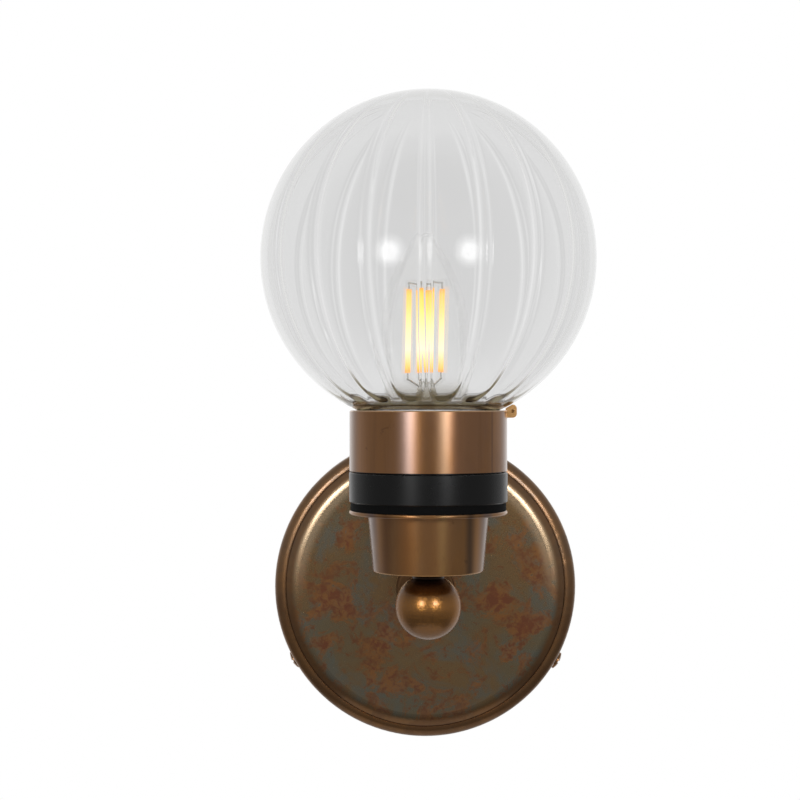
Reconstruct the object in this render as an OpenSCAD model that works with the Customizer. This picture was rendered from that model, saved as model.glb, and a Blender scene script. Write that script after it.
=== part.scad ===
// Sealed wall light: a clear ribbed glass globe on a threaded brass collar, a tapered cup,
// a ball on a short arm and a round stepped backplate, with a filament candle bulb inside.
// Frame: the origin is where the centre of the backplate meets the wall, X is to the right,
// +Y goes into the wall, so the light stands out along -Y, and Z is up.

/* [Backplate] */
// Outer diameter of the backplate
plate_d = 120; // [108:1:150]
// How far the flat face stands out from the wall
plate_depth = 17.5; // [16.5:0.5:24]
// Thickness of the spun brass
plate_wall = 1.2; // [0.8:0.1:1.6]
// Radius of the rounded shoulder round the face
shoulder_r = 7; // [6:0.5:8]
// Radius of the rounded outer rim
rim_r = 4.2; // [3.5:0.1:5]
// Width of the crease between shoulder and rim
crease_w = 0.3; // [0.2:0.1:0.6]
// Depth of the crease below the rim's crest
crease_depth = 0.5; // [0.3:0.1:0.8]
// How far the shoulder falls before the crease
shoulder_drop = 2.3; // [1.8:0.1:2.8]

/* [Wall bracket] */
// Sheet thickness of the bracket
bracket_t = 1.5; // [1:0.1:2]
// Diameter of the bracket's round middle
bracket_d = 92; // [84:1:100]
// Width of each arm and its bent tab
tab_w = 14; // [12:0.5:18]
// Height of the bent tabs, from the wall
tab_h = 11; // [9.5:0.5:13]
// Inner radius of each tab's bend
tab_bend_r = 1.5; // [1:0.5:2.5]
// Distance between the two wall slots
wall_pitch = 60; // [54:1:66]
// Width of each wall slot
wall_slot_w = 5; // [4.5:0.1:5.5]
// Length of each wall slot, end to end
wall_slot_l = 10; // [8:0.5:12]
// Diameter of the hole for the supply cable
cable_hole_d = 18; // [16:0.5:20]

/* [Rim screws] */
// Number of screws through the backplate's rim
rim_screws_n = 3; // [2:1:4]
// Thread diameter of the rim screws
rim_screw_d = 4; // [3:0.5:5]
// Length of thread under the head
rim_screw_l = 7; // [5:0.5:9]
// Diameter of the slotted heads
rim_head_d = 7; // [6:0.1:8]
// Height of the slotted heads
rim_head_h = 1.7; // [1.4:0.1:2]
// How far the last screw's head stands off the rim, not driven home
rim_head_off = 0.6; // [0:0.1:1]
// Height of the screws' centre line above the wall
rim_screw_z = 5.7; // [5:0.1:6.5]
// Width of the screwdriver slot
slot_w = 1; // [0.8:0.1:1.2]
// Depth of the screwdriver slot
slot_depth = 0.9; // [0.6:0.1:1]

/* [Arm] */
// Distance from the wall to the lamp's upright axis
lamp_reach = 89.5; // [82:0.5:110]
// Diameter of the boss against the backplate
boss_d = 23; // [20:0.5:28]
// Length of the boss
boss_l = 9; // [6:0.5:14]
// Rounding of the boss's front edge
boss_round = 1.2; // [0.6:0.1:2]
// Diameter of the arm tube
arm_d = 14; // [12.5:0.5:16]
// Diameter of the hollow threaded rod inside the arm
rod_d = 10; // [9:0.5:11]
// Bore of the hollow threaded rod, for the wires
rod_bore = 7; // [6:0.5:7.5]
// Distance across the flats of the rod's nuts
nut_af = 14; // [13:0.5:17]
// Thickness of the rod's nuts
nut_t = 3.6; // [3:0.1:4.5]
// Thickness of the washer under the arm nut
washer_t = 1; // [0.6:0.1:1.4]
// Outer diameter of that washer
washer_d = 19; // [17:0.5:22]

/* [Ball] */
// Diameter of the ball
ball_d = 23.5; // [22:0.5:28]
// Height of the ball's centre above the arm's axis
ball_rise = 0.8; // [0:0.1:1]
// Diameter of the neck at its narrowest
neck_waist_d = 11.4; // [11:0.1:13]
// Diameter where the neck flares out under the cup
neck_flare_d = 17.4; // [16:0.1:20]
// Height of the cup's underside above the arm's axis
cup_lift = 13.4; // [13:0.1:16]
// Radius of the neck's hollow curve
neck_curve_r = 3; // [3:0.1:4]

/* [Cup] */
// Height of the cup below its flange
cup_h = 20.3; // [16:0.1:26]
// Diameter of the cup just under the flange
cup_top_d = 43; // [39:0.5:43.4]
// Diameter of the cup at its foot
cup_foot_d = 39.6; // [35:0.2:42]
// Wall of the cup
cup_wall = 1.4; // [1:0.1:1.8]
// Thickness of the cup's floor
cup_floor = 2; // [1.6:0.1:3]
// Rounding of the cup's lower edge
cup_round = 0.7; // [0.5:0.1:1.4]
// Diameter of the flange
flange_d = 56.3; // [54:0.1:60]
// Thickness of the flange
flange_t = 1.5; // [1.2:0.1:2]

/* [Holder ring] */
// Diameter of the rubber gasket on the flange
gasket_d = 55.3; // [53:0.1:58]
// Thickness of that gasket
gasket_t = 2.8; // [2:0.1:3.5]
// Diameter of the black ring
ring_d = 56.3; // [54:0.1:60]
// Height of the black ring
ring_h = 10.8; // [9:0.1:13]
// Thickness of the ring's floor
ring_floor = 3; // [2.5:0.1:4]
// Inside diameter of the ring's wall
ring_bore = 47; // [45:0.5:48]
// Chamfer on the ring's edges
ring_chamfer = 0.4; // [0.2:0.1:0.8]
// Height of the threaded spigot above the ring
spigot_h = 5.8; // [5:0.1:6.6]
// Radius of the circle of the three holder screws
holder_screw_r = 22.9; // [22.8:0.1:23]
// Diameter of the holder screws
holder_screw_d = 2.5; // [2:0.1:2.6]
// Diameter of the holder screws' heads
holder_head_d = 4.2; // [3.8:0.1:4.4]
// Height of the holder screws' heads
holder_head_h = 1.7; // [1.2:0.1:2]
// Thickness of the rubber ring under the glass
neck_gasket_t = 1.2; // [0.8:0.1:1.6]

/* [Collar] */
// Outer diameter of the brass collar
collar_d = 56; // [54:0.1:60]
// Height of the collar
collar_h = 21.4; // [20:0.1:26]
// Wall of the collar at its thread
collar_wall = 1.5; // [1.2:0.1:1.7]
// Step inwards above the thread, which bears on the split ring
collar_step = 0.9; // [0.7:0.1:1.2]
// Chamfer on the collar's top edge
collar_chamfer = 0.4; // [0.3:0.1:0.6]
// Gap between the collar and the black ring
collar_gap = 0.4; // [0.3:0.1:0.6]
// Clearance between turning pieces
run_gap = 0.3; // [0.3:0.05:0.4]
// Wire diameter of the split ring over the glass bead
split_wire_d = 2; // [1.8:0.1:2]
// Angle of the gap in the split ring
split_angle = 12; // [6:1:20]
// How far the lug stands out from the collar
lug_reach = 3.4; // [3:0.1:5]
// Height of the lug
lug_h = 4.7; // [4:0.1:6]
// How far the lug rises above the collar's top edge
lug_rise = 2.1; // [1.6:0.1:2.6]
// Thickness of the lug
lug_t = 2.6; // [2:0.1:3.5]
// Rounding of the lug's outer corners
lug_round = 1.5; // [1:0.1:1.9]
// Diameter of the blind hole in the lug's front
lug_hole_d = 1.3; // [0.8:0.1:1.4]
// Depth of that hole
lug_hole_l = 2; // [1:0.1:2.2]

/* [Globe] */
// Outer diameter of the glass globe
globe_d = 119.2; // [110:0.1:130]
// Thinnest wall of the glass, in the middle of a lobe
glass_wall = 2.4; // [1.8:0.1:3.2]
// How far the ribs stand inwards
rib_depth = 0.6; // [0.4:0.1:1.4]
// Number of ribs inside the globe
ribs_n = 18; // [12:1:20]
// Turn of the ribs about the upright axis
rib_turn = 8; // [0:1:20]
// Outer diameter of the glass neck
glass_neck_d = 48; // [47.6:0.1:48.4]
// Bore of the glass neck
glass_bore_d = 42.4; // [41:0.1:43]
// Height of the bead at the bottom of the neck
bead_h = 2.2; // [1.8:0.1:2.4]
// How far the bead stands out from the neck
bead_out = 1.2; // [1:0.1:1.4]

/* [Bulb] */
// Largest diameter of the candle bulb
bulb_d = 32; // [30:0.5:35]
// Height of the glass above its widest place
bulb_top_h = 38.4; // [34:0.1:42]
// Height of the glass below its widest place
bulb_low_h = 38; // [35:0.1:40]
// Radius of the rounded tip
bulb_tip_r = 4; // [3:0.1:5]
// Diameter of the glass where it enters the cap
bulb_neck_d = 18.6; // [17:0.1:19.2]
// Wall of the bulb's glass
bulb_wall = 0.9; // [0.7:0.1:1.1]
// Diameter of the cap's threaded shell
cap_d = 13.8; // [13.4:0.1:14]
// Height of the cap's shell
cap_h = 17.5; // [16:0.5:19]
// Lean of the bulb in its holder, to the left
bulb_lean = 1.3; // [0:0.1:1.4]
// Length of each light filament
filament_l = 29.6; // [24:0.1:32]
// Diameter of each light filament
filament_d = 1.9; // [1.4:0.1:2.2]
// Distance of the filaments from the bulb's axis
filament_out = 6.1; // [4.5:0.1:7]
// Turn of the filament square about the bulb's axis
filament_turn = 14; // [0:1:44]
// Diameter of the wires that carry the filaments
lead_d = 0.7; // [0.5:0.1:0.9]

/* [Lampholder] */
// Outer diameter of the lampholder
holder_d = 26.8; // [25:0.2:27.4]
// Height of the lampholder
holder_h = 32.6; // [30:0.2:34]
// Wall of the lampholder
holder_wall = 2.2; // [1.8:0.1:2.6]
// Thickness of the lampholder's floor
holder_floor = 4; // [3.6:0.1:5]
// Clearance round the cap in the threaded shell
shell_gap = 0.5; // [0.4:0.1:0.6]

/* [Hidden] */

// Smoothness of round forms
$fn = 120;
eps = 0.01;
fit_gap = 0.05;
big = 400;

// Heights of the stack above the arm's axis
z_cup = cup_lift;
z_flange = z_cup + cup_h;
z_gasket = z_flange + flange_t;
z_ring = z_gasket + gasket_t;
z_ring_top = z_ring + ring_h;
z_spigot_top = z_ring_top + spigot_h;
z_collar = z_ring_top + collar_gap;
z_collar_top = z_collar + collar_h;
z_glass = z_spigot_top + neck_gasket_t + run_gap;
z_split = z_glass + bead_h + run_gap + split_wire_d/2;
z_step = z_split + split_wire_d/2 + 2*fit_gap;

// Collar and glass radii that seat on each other
collar_r = collar_d/2;
thread_r = collar_r - collar_wall;
step_r = thread_r - collar_step;
spigot_r = thread_r - run_gap;
globe_r = globe_d/2;
glass_neck_r = glass_neck_d/2;
// The globe clears the inner edge of the collar's top by this much
globe_clear = 0.35;
cushion_h = 3;
cushion_sink = 0.3;
cushion_room = 0.75;
z_cushion = z_collar_top - cushion_h - cushion_sink;
lip_r = step_r + collar_chamfer;
z_globe = z_collar_top + globe_clear + sqrt(pow(globe_r, 2) - pow(lip_r, 2));
glass_fillet = 1.2;
// How far the lug reaches in over the collar's top edge
lug_root = 1;

// Backplate radii and heights, from the wall outwards
plate_r = plate_d/2;
rim_centre_r = plate_r - rim_r;
crease_r = rim_centre_r - crease_w;
shoulder_run = sqrt(pow(shoulder_r, 2) - pow(shoulder_r - shoulder_drop, 2));
shoulder_centre_r = crease_r - shoulder_run;
crest_z = plate_depth - shoulder_drop + crease_w;
plate_inner_r = plate_r - plate_wall;
plate_inner_z = plate_depth - plate_wall;

// Wall bracket
bracket_r = bracket_d/2;
tab_out = sqrt(pow(plate_inner_r - run_gap, 2) - pow(tab_w/2, 2));
tap_gap = fit_gap;

// Arm stations, outwards from the wall
boss_end = plate_depth + boss_l;
ball_seat = sqrt(pow(ball_d/2, 2) - pow(arm_d/2, 2)) - 0.3;
arm_end = lamp_reach - ball_seat - eps;
nut_end = plate_inner_z - washer_t;
nut_start = nut_end - nut_t;
rod_stub = 4;
rod_start = nut_start - rod_stub;
rod_end = lamp_reach - rod_d/2 + 0.3;
ball_hollow = rod_d/2 - 0.4;
neck_waist_z = cup_lift - sqrt(pow(neck_curve_r, 2)
    - pow(neck_curve_r - (neck_flare_d - neck_waist_d)/2, 2));

// Depth of the spot faces under the holder screws' heads
head_sink = 0.3;

// Lampholder and bulb heights
z_cup_floor = z_cup + cup_floor;
z_lampholder = z_cup_floor + nut_t;
z_lampholder_floor = z_lampholder + holder_floor;
chamber_h = 4.5;
z_ledge = z_lampholder_floor + chamber_h;
ledge_w = 1.5;
holder_chamfer = 1;
base_t = 4.5;
z_base_top = z_ledge + base_t;
contact_t = 0.6;
contact_w = 4;
contact_l = 9;
pin_r = 1.5;
wire_out = 4.6;
wire_recess = 2.4;
shell_sink = 2;
shell_wall = 0.5;
shell_r = cap_d/2 + shell_gap + shell_wall;
holder_r = holder_d/2;
contact_rise = 2.4;
z_contact_top = z_base_top + contact_rise;
cap_pip = 1;
insulator_h = 2.6;
insulator_r = 3;
cap_contact_r = 2.4;
cap_grip = 2.5;
z_cap = z_contact_top + cap_pip + insulator_h;
cap_flare_h = 4.5;
cap_wall = 0.4;
z_bulb_mid = z_cap + cap_h + cap_flare_h - cap_grip + bulb_low_h;
z_lean = z_cap + cap_h/2;

// Terminal block, in the backplate's own plan
block_w = 34;
block_l = 14;
block_h = 5;
block_y = -34;
block_screw_x = 14;
pole_pitch = 8;
pole_d = 6;
pole_h = 4.5;
pole_hole_d = 3.2;
block_wire_z = bracket_t + 2.6;
pole_floor = 1.5;
pole_screw_l = 4.1;
pole_screw_h = 1.2;
pole_screw_sink = 1.6;
small_head_d = 4.3;
small_head_h = 1.4;
earth_at = [-28, -24];
earth_head_d = 7;
earth_head_h = 2;

// Wires: points chosen by hand, [across, up, out from the wall], then up the lamp's axis
wire_d = 2;
earth_wire_d = 1.8;
live_points = [[8, -36, 4.1], [8, -22, 4.1], [7.2, -16, 4.2], [4.8, -11, 4.0],
               [2.6, -7, 3.9], [1.5, -4, 4.3], [1.3, -1.4, 5.9], [1.3, 0, 9]];
neutral_points = [[0, -36, 4.1], [0, -22, 4.1], [-0.6, -16, 4.2], [-1.2, -11, 4.0],
                  [-1.5, -7, 3.9], [-1.4, -4, 4.3], [-1.3, -1.4, 5.9], [-1.3, 0, 9]];
earth_points = [[-8, -36, 4.1], [-8, -24, 4.1], [-11.5, -19.6, 4.2], [-17, -18.4, 3.8],
                [-22, -19.6, 2.9], [-26, -21, 2.45], [-30, -21, 2.45]];
// Inside the ball and above the lampholder's floor: [across, up, out from the lamp's axis]
rise_points = [[1.3, 0, -4.6], [1.3, 0.5, -2.2], [1.3, 2.2, -0.5], [1.3, 4.6, 0]];
end_points = [[2.6, 2.4, 0], [4.4, 4.4, 0], [wire_out, 6.2, 0]];
wire_apart = 1.3;

// The wall's frame (local Z out from the wall, local Y up), the lamp's axis, and the leaning bulb
module on_wall() rotate([90, 0, 0]) children();
module on_lamp() translate([0, -lamp_reach, 0]) children();
module on_bulb() on_lamp() translate([0, 0, z_lean]) rotate([0, -bulb_lean, 0])
    translate([0, 0, -z_lean]) children();
module right_half(low, high) intersection() {
    children();
    translate([0, low]) square([big, high - low]);
}
module ring(outer, inner, z0, z1) translate([0, 0, z0]) difference() {
    cylinder(r = outer, h = z1 - z0);
    translate([0, 0, -eps]) cylinder(r = inner, h = z1 - z0 + 2*eps);
}
module hex_nut(z0) translate([0, 0, z0]) difference() {
    cylinder(d = nut_af/cos(30), h = nut_t, $fn = 6);
    translate([0, 0, -eps]) cylinder(d = rod_d, h = nut_t + 2*eps);
}
// A straight round bar between two points
module bar(from, to, d) {
    v = to - from;
    translate(from) rotate([0, acos(v[2]/norm(v)), atan2(v[1], v[0])]) cylinder(d = d, h = norm(v));
}
// A screw standing on z = 0 with its thread below and a slotted, slightly domed head above
module slotted_screw(thread_d, thread_l, head_d, head_h) difference() {
    union() {
        translate([0, 0, -thread_l]) cylinder(d = thread_d, h = thread_l + eps);
        rotate_extrude() intersection() {
            square([head_d/2, head_h]);
            translate([0, head_h - head_d]) circle(r = head_d);
        }
    }
    translate([-head_d, -slot_w/2, head_h - slot_depth]) cube([2*head_d, slot_w, slot_depth + 1]);
}

// Smooth points through a hand-made route, and a round tube along them
function spline_at(p, i, t) = let (
    n = len(p) - 1, a = p[max(0, i - 1)], b = p[i], c = p[min(n, i + 1)], d = p[min(n, i + 2)])
    0.5*(2*b + t*(c - a) + t*t*(2*a - 5*b + 4*c - d) + t*t*t*(3*b - a - 3*c + d));
function spline(p, steps) = concat(
    [for (i = [0:len(p) - 2], s = [0:steps - 1]) spline_at(p, i, s/steps)], [p[len(p) - 1]]);
function unit(v) = v/norm(v);
function heading(p, i) = unit(p[min(len(p) - 1, i + 1)] - p[max(0, i - 1)]);
module tube_along(p, d, sides = 8) {
    function side_at(i, s) = let (t = heading(p, i), u = unit(cross(t, [0.3, 0.2, 0.93])), w = cross(t, u))
        p[i] + d/2*(cos(360*s/sides)*u + sin(360*s/sides)*w);
    n = len(p);
    polyhedron(
        points = [for (i = [0:n - 1], s = [0:sides - 1]) side_at(i, s)],
        faces = concat(
            [[for (s = [sides - 1:-1:0]) s]],
            [for (i = [0:n - 2], s = [0:sides - 1]) let (a = i*sides, r = (s + 1)%sides)
                [a + s, a + r, a + sides + r, a + sides + s]],
            [[for (s = [0:sides - 1]) (n - 1)*sides + s]]));
}

// Backplate
module plate_outline(inset) {
    square([shoulder_centre_r, plate_depth - inset]);
    right_half(0, big) intersection() {
        translate([shoulder_centre_r, plate_depth - shoulder_r]) circle(r = shoulder_r - inset);
        square([crease_r, big]);
    }
    square([rim_centre_r, crest_z - crease_depth - inset]);
    translate([rim_centre_r, crest_z - rim_r]) intersection() {
        circle(r = rim_r - inset);
        square(rim_r);
    }
    square([plate_r - inset, crest_z - rim_r]);
}
module around_rim(last_out = 0) for (i = [0:rim_screws_n - 1])
    rotate([0, 0, 90 + 360*i/rim_screws_n])
    translate([plate_r + (i == rim_screws_n - 1 ? last_out : 0), 0, rim_screw_z]) rotate([0, 90, 0]) children();
module backplate() color("#8a6a44") on_wall() difference() {
    rotate_extrude() difference() {
        plate_outline(0);
        plate_outline(plate_wall);
        translate([0, -1]) square([plate_inner_r, 1 + eps]);
    }
    cylinder(d = rod_d + 2*fit_gap, h = big);
    around_rim() translate([0, 0, -rim_screw_l]) cylinder(d = rim_screw_d + 4*fit_gap, h = rim_screw_l + 2);
}

// Wall bracket: a round sheet with arms, each bent up into a tapped tab
module tab_section() {
    inner = tab_bend_r;
    outer = tab_bend_r + bracket_t;
    square([tab_out - outer, bracket_t]);
    translate([tab_out - outer, outer]) intersection() {
        difference() {
            circle(r = outer);
            circle(r = inner);
        }
        translate([0, -outer]) square(outer);
    }
    translate([tab_out - bracket_t, outer]) square([bracket_t, tab_h - outer]);
}
module wall_bracket() color("#b9bcc0") on_wall() difference() {
    union() {
        cylinder(r = bracket_r, h = bracket_t);
        for (i = [0:rim_screws_n - 1]) rotate([0, 0, 90 + 360*i/rim_screws_n])
            translate([0, tab_w/2, 0]) rotate([90, 0, 0]) linear_extrude(tab_w) tab_section();
    }
    translate([0, 0, -eps]) cylinder(d = cable_hole_d, h = bracket_t + 2*eps);
    for (side = [-1, 1]) translate([side*wall_pitch/2, 0, -eps]) linear_extrude(bracket_t + 2*eps) {
        square([wall_slot_l - wall_slot_w, wall_slot_w], center = true);
        for (end = [-1, 1]) translate([end*(wall_slot_l - wall_slot_w)/2, 0]) circle(d = wall_slot_w);
    }
    around_rim() translate([0, 0, -2*rim_screw_l]) cylinder(d = rim_screw_d, h = 2*rim_screw_l);
    translate([earth_at[0], earth_at[1], -eps]) cylinder(d = rim_screw_d, h = bracket_t + 2*eps);
    translate([block_screw_x, block_y, -eps]) cylinder(d = holder_screw_d, h = bracket_t + 2*eps);
}
module rim_screws() color("#a07a45") on_wall() around_rim(rim_head_off) translate([0, 0, fit_gap])
    slotted_screw(rim_screw_d - 2*tap_gap, rim_screw_l, rim_head_d, rim_head_h);

// Wiring inside the backplate
module at_poles() for (i = [-1:1]) translate([i*pole_pitch, block_y, bracket_t]) children();
module terminal_block() color("#e8e6de") on_wall() difference() {
    union() {
        translate([-block_w/2, block_y - block_l/2, bracket_t]) cube([block_w, block_l, block_h]);
        at_poles() translate([0, 0, block_h - eps]) cylinder(d = pole_d, h = pole_h);
    }
    at_poles() {
        translate([0, 0, pole_floor]) cylinder(d = pole_hole_d, h = big);
        translate([0, 0, block_wire_z - bracket_t]) rotate([90, 0, 0])
            cylinder(d = wire_d + 0.4, h = block_l + 2, center = true);
    }
    translate([block_screw_x, block_y, 0]) cylinder(d = holder_screw_d + 0.2, h = big);
}
module terminal_screws() color("#c9b27a") on_wall() at_poles()
    translate([0, 0, block_h + pole_h - pole_screw_sink])
    slotted_screw(pole_hole_d - 4*fit_gap, pole_screw_l, pole_hole_d - 4*fit_gap, pole_screw_h);
module block_screw() color("#c0c2c4") on_wall() translate([block_screw_x, block_y, bracket_t + block_h])
    slotted_screw(holder_screw_d - 2*tap_gap, block_h + bracket_t - 4*fit_gap, small_head_d, small_head_h);
module earth_screw() color("#c9a55a") on_wall()
    translate([earth_at[0], earth_at[1], bracket_t + earth_wire_d + 2*fit_gap])
    slotted_screw(rim_screw_d - 2*tap_gap, bracket_t + earth_wire_d, earth_head_d, earth_head_h);
// A feed wire: from its pole, along the threaded rod, round inside the ball and up the nipple
function feed_route(points, side) = concat(
    [for (q = spline(points, 2)) [q[0], -q[2], q[1]]],
    [for (y = [20:20:60]) [side*wire_apart, -y, 0]],
    [for (q = spline(rise_points, 3)) [side*q[0], -lamp_reach - q[2], q[1]]],
    [[side*wire_apart, -lamp_reach, z_cup_floor], [side*wire_apart, -lamp_reach, z_lampholder_floor]],
    [for (q = end_points) [side*q[0], -lamp_reach, z_lampholder_floor + q[1]]]);
module live_wire() color("#7a4a2c") tube_along(feed_route(live_points, 1), wire_d);
module neutral_wire() color("#3f6fb0") tube_along(feed_route(neutral_points, -1), wire_d);
module earth_wire() color("#6f9a3a")
    tube_along([for (q = spline(earth_points, 3)) [q[0], -q[2], q[1]]], earth_wire_d);

// Arm
module arm_boss() color("#94704a") on_wall() difference() {
    rotate_extrude() {
        translate([0, plate_depth]) square([boss_d/2, boss_l - boss_round]);
        translate([0, plate_depth]) square([boss_d/2 - boss_round, boss_l]);
        translate([boss_d/2 - boss_round, boss_end - boss_round]) circle(r = boss_round);
    }
    cylinder(d = rod_d + 2*fit_gap, h = big);
}
module arm_tube() color("#94704a") on_wall() ring(arm_d/2, rod_d/2 + 3*fit_gap, boss_end, arm_end);
module threaded_rod() color("#c2b280") on_wall() ring(rod_d/2 - tap_gap, rod_bore/2, rod_start, rod_end);
module arm_nut() color("#c2b280") on_wall() hex_nut(nut_start);
module arm_washer() color("#b9bcc0") on_wall() ring(washer_d/2, rod_d/2 + fit_gap, nut_end, plate_inner_z);

// Ball with its flared neck
module ball() color("#94704a") on_lamp() difference() {
    rotate_extrude() {
        right_half(-big, big) translate([0, ball_rise]) circle(d = ball_d);
        difference() {
            square([neck_flare_d/2, cup_lift]);
            translate([neck_waist_d/2, 0]) square([neck_flare_d, neck_waist_z]);
            translate([neck_waist_d/2 + neck_curve_r, neck_waist_z]) circle(r = neck_curve_r);
        }
    }
    translate([0, 0, -ball_hollow]) cylinder(d = rod_d, h = big);
    rotate([-90, 0, 0]) translate([0, 0, -ball_hollow]) cylinder(d = rod_d, h = big);
    translate([-ball_d, ball_seat, -ball_d]) cube(2*ball_d);
}
module neck_nipple() color("#c2b280") on_lamp()
    ring(rod_d/2 - tap_gap, rod_bore/2, rod_d/2 + 0.3, z_lampholder_floor);
module cup_nut() color("#c2b280") on_lamp() hex_nut(z_cup_floor);

// Cup and flange, turned as one piece
module cup_side(inset) polygon([
    [0, z_cup + cup_round], [cup_foot_d/2 - inset, z_cup + cup_round],
    [cup_top_d/2 - inset, z_flange + eps], [0, z_flange + eps]]);
module cup() color("#96714a") on_lamp() difference() {
    rotate_extrude() {
        cup_side(0);
        translate([cup_foot_d/2 - cup_round, z_cup + cup_round]) circle(r = cup_round);
        translate([0, z_cup]) square([cup_foot_d/2 - cup_round, cup_round + eps]);
        translate([0, z_flange]) square([flange_d/2 - flange_t/2, flange_t]);
        translate([flange_d/2 - flange_t/2, z_flange + flange_t/2]) circle(d = flange_t);
    }
    rotate_extrude() intersection() {
        cup_side(cup_wall);
        translate([0, z_cup_floor]) square(big);
    }
    translate([0, 0, z_flange - eps]) cylinder(d = cup_top_d - 2*cup_wall, h = big);
    cylinder(d = rod_d + 2*fit_gap, h = big);
    at_holder_screws() translate([0, 0, z_flange - 1]) cylinder(d = holder_screw_d, h = big);
}

// Gasket, black ring and their screws
module at_holder_screws() for (i = [0:2]) rotate([0, 0, 30 + 120*i]) translate([holder_screw_r, 0, 0]) children();
module flange_gasket() color("#141414") on_lamp() difference() {
    ring(gasket_d/2, holder_r + 2*run_gap, z_gasket, z_ring);
    at_holder_screws() translate([0, 0, z_gasket - 1]) cylinder(d = holder_screw_d + 0.2, h = gasket_t + 2);
}
module holder_ring() color("#2b2b2b") on_lamp() difference() {
    rotate_extrude() polygon([
        [holder_r + 2*run_gap, z_ring], [ring_d/2 - ring_chamfer, z_ring],
        [ring_d/2, z_ring + ring_chamfer], [ring_d/2, z_ring_top - ring_chamfer],
        [ring_d/2 - ring_chamfer, z_ring_top], [spigot_r, z_ring_top],
        [spigot_r, z_spigot_top - ring_chamfer], [spigot_r - ring_chamfer, z_spigot_top],
        [ring_bore/2, z_spigot_top], [ring_bore/2, z_ring + ring_floor],
        [holder_r + 2*run_gap, z_ring + ring_floor]]);
    at_holder_screws() {
        translate([0, 0, z_ring - 1]) cylinder(d = holder_screw_d + 0.2, h = ring_floor + 2);
        translate([0, 0, z_ring + ring_floor - head_sink]) cylinder(d = holder_head_d + 0.4, h = big);
    }
}
module holder_screws() color("#8d8f92") on_lamp() at_holder_screws()
    translate([0, 0, z_ring + ring_floor - head_sink]) slotted_screw(holder_screw_d - 2*tap_gap,
        ring_floor + gasket_t + flange_t - head_sink - 2*fit_gap, holder_head_d, holder_head_h);
module neck_gasket() color("#1b1b1b") on_lamp()
    ring(glass_neck_r + bead_out, glass_bore_d/2 + 0.6, z_spigot_top, z_spigot_top + neck_gasket_t);

// Collar, with the lug, the split ring and the cushion ring that ride in it
module collar() color("#8e6038") on_lamp() rotate_extrude() polygon([
    [thread_r, z_collar], [collar_r, z_collar], [collar_r, z_collar_top - collar_chamfer],
    [collar_r - collar_chamfer, z_collar_top], [lip_r, z_collar_top],
    [step_r, z_collar_top - collar_chamfer], [step_r, z_step], [thread_r, z_step]]);
module collar_lug() color("#b58a55") on_lamp() difference() {
    translate([0, lug_t/2, 0]) rotate([90, 0, 0]) linear_extrude(lug_t) {
        z1 = z_collar_top + lug_rise;
        z0 = z1 - lug_h;
        x1 = collar_r + lug_reach;
        root_x = collar_r - lug_root;
        translate([root_x, z0]) square([x1 - lug_round - root_x, lug_h]);
        translate([root_x, z0 + lug_round]) square([x1 - root_x, lug_h - 2*lug_round]);
        for (z = [z0 + lug_round, z1 - lug_round]) translate([x1 - lug_round, z]) circle(r = lug_round);
    }
    cylinder(r = collar_r, h = z_collar_top);
    translate([0, 0, z_globe]) sphere(r = globe_r + run_gap);
    translate([0, 0, z_collar_top - eps]) cylinder(r = collar_r - collar_chamfer, h = big);
    translate([collar_r + lug_reach*0.55, lug_hole_l - lug_t/2, z_collar_top + lug_rise - lug_h/2])
        rotate([90, 0, 0]) cylinder(d = lug_hole_d, h = lug_hole_l + 1);
}
module split_ring() color("#c7c9cb") on_lamp() translate([0, 0, z_split]) rotate([0, 0, split_angle/2])
    rotate_extrude(angle = 360 - split_angle) translate([thread_r - 2*fit_gap - split_wire_d/2, 0])
    circle(d = split_wire_d);
module cushion_ring() color("#202020") on_lamp()
    ring(step_r - fit_gap, glass_neck_r + cushion_room, z_cushion, z_cushion + cushion_h);

// Globe: a true sphere outside, and a hollow with lobes between the ribs inside. Angles are
// heights over the globe's equator. A lobe's foot is a U, so its sides start higher than its middle.
rib_low = -62;
rib_high = 78;
rib_end = 7;
rib_cusp = 8;
cavity_low = -66.6;
cavity_high = 77.4;
function smooth(t) = let (c = max(0, min(1, t))) c*c*(3 - 2*c);
function rib_swell(t, e) = smooth((e - rib_low - rib_cusp*pow(abs(2*t - 1), 3))/rib_end)
    *smooth((rib_high - e)/(3*rib_end));
// Share of a lobe's width that half a rib takes, and where a lobe's points lie
rib_share = 0.16;
lobe_side = 0.3;
lobe_stops = [0, rib_share/2, rib_share, lobe_side, 0.5, 1 - lobe_side, 1 - rib_share, 1 - rib_share/2];
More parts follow.
